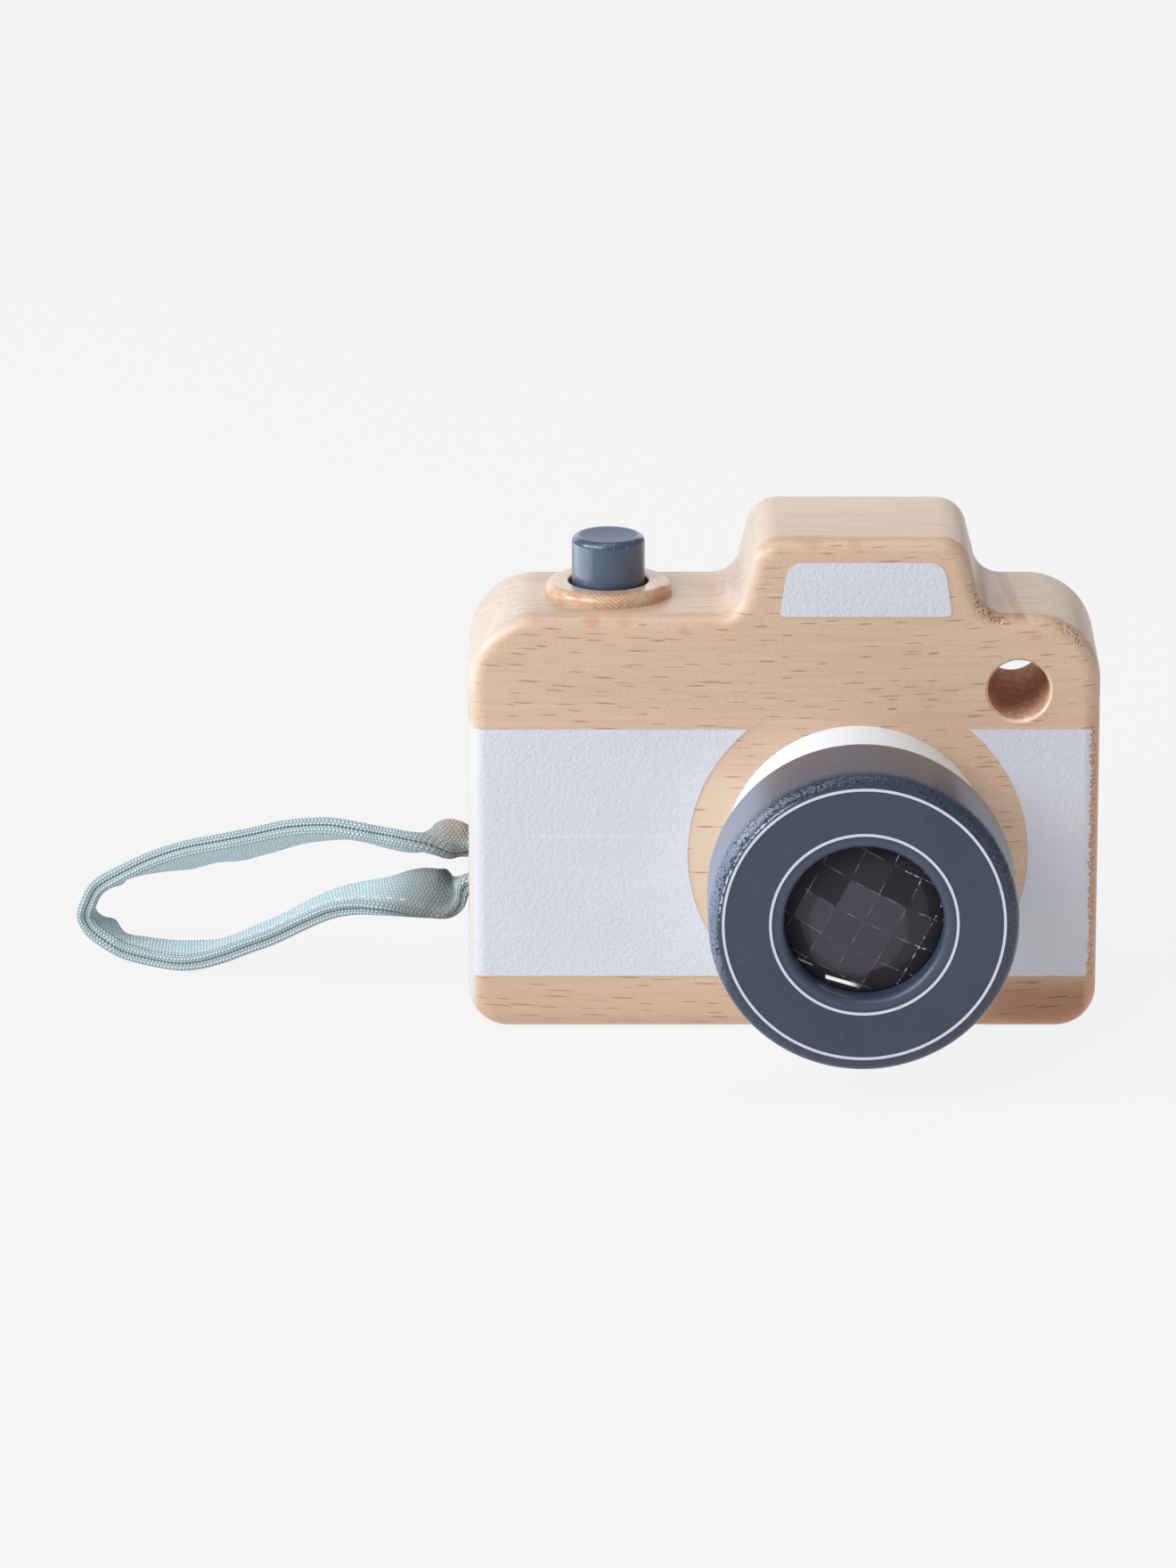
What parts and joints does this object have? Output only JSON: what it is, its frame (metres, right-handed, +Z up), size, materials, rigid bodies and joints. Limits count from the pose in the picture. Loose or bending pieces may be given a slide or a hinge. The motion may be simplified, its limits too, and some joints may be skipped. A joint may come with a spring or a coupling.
{
  "type": "toy camera",
  "caption": "Wooden pretend-play camera: a beech block with printed panels, a turning ring with a faceted lens, a sprung push button, a viewfinder hole and a canvas wrist strap.",
  "frame": {"origin": "middle of the flat base that the camera stands on", "axes": "+Z up, +X to the right as seen from the front, the lens looks along -Y"},
  "size_m": [0.1807, 0.0893, 0.089],
  "materials": {
    "beech": "sanded and waxed",
    "collar_wood": "clear lacquer",
    "panel_print": "matte printed film",
    "white_paint": "satin white paint",
    "slate_paint": "satin slate paint",
    "line_print": "matte printed line",
    "lens_acrylic": "clear, polished",
    "spring_steel": "bright drawn wire",
    "strap_canvas": "folded cotton canvas"
  },
  "bodies": {
    "camera": {"body": "beech", "band_left": "panel_print", "band_right": "panel_print", "flash_window": "panel_print", "button_collar": "collar_wood", "button_spring": "spring_steel", "neck_ring": "white_paint", "strap_peg": "beech", "wrist_strap": "strap_canvas"},
    "lens": {"lens_sleeve": "beech", "lens_ring": "slate_paint", "faceted_lens": "lens_acrylic", "outer_ring_line": "line_print", "inner_ring_line": "line_print"},
    "button": {"shutter_button": "slate_paint"}
  },
  "joints": [
    {"name": "lens_turn", "type": "hinge", "parent": "camera", "child": "lens", "pos_m": [0.013, -0.03, 0.0323], "axis": [0, -1, 0], "continuous": true},
    {"name": "button_press", "type": "slide", "parent": "camera", "child": "button", "axis": [0, 0, -1], "range_m": [0, 0.005], "stiffness_N_per_m": 300, "springref_m": -0.002, "deforming": ["button_spring"]}
  ]
}
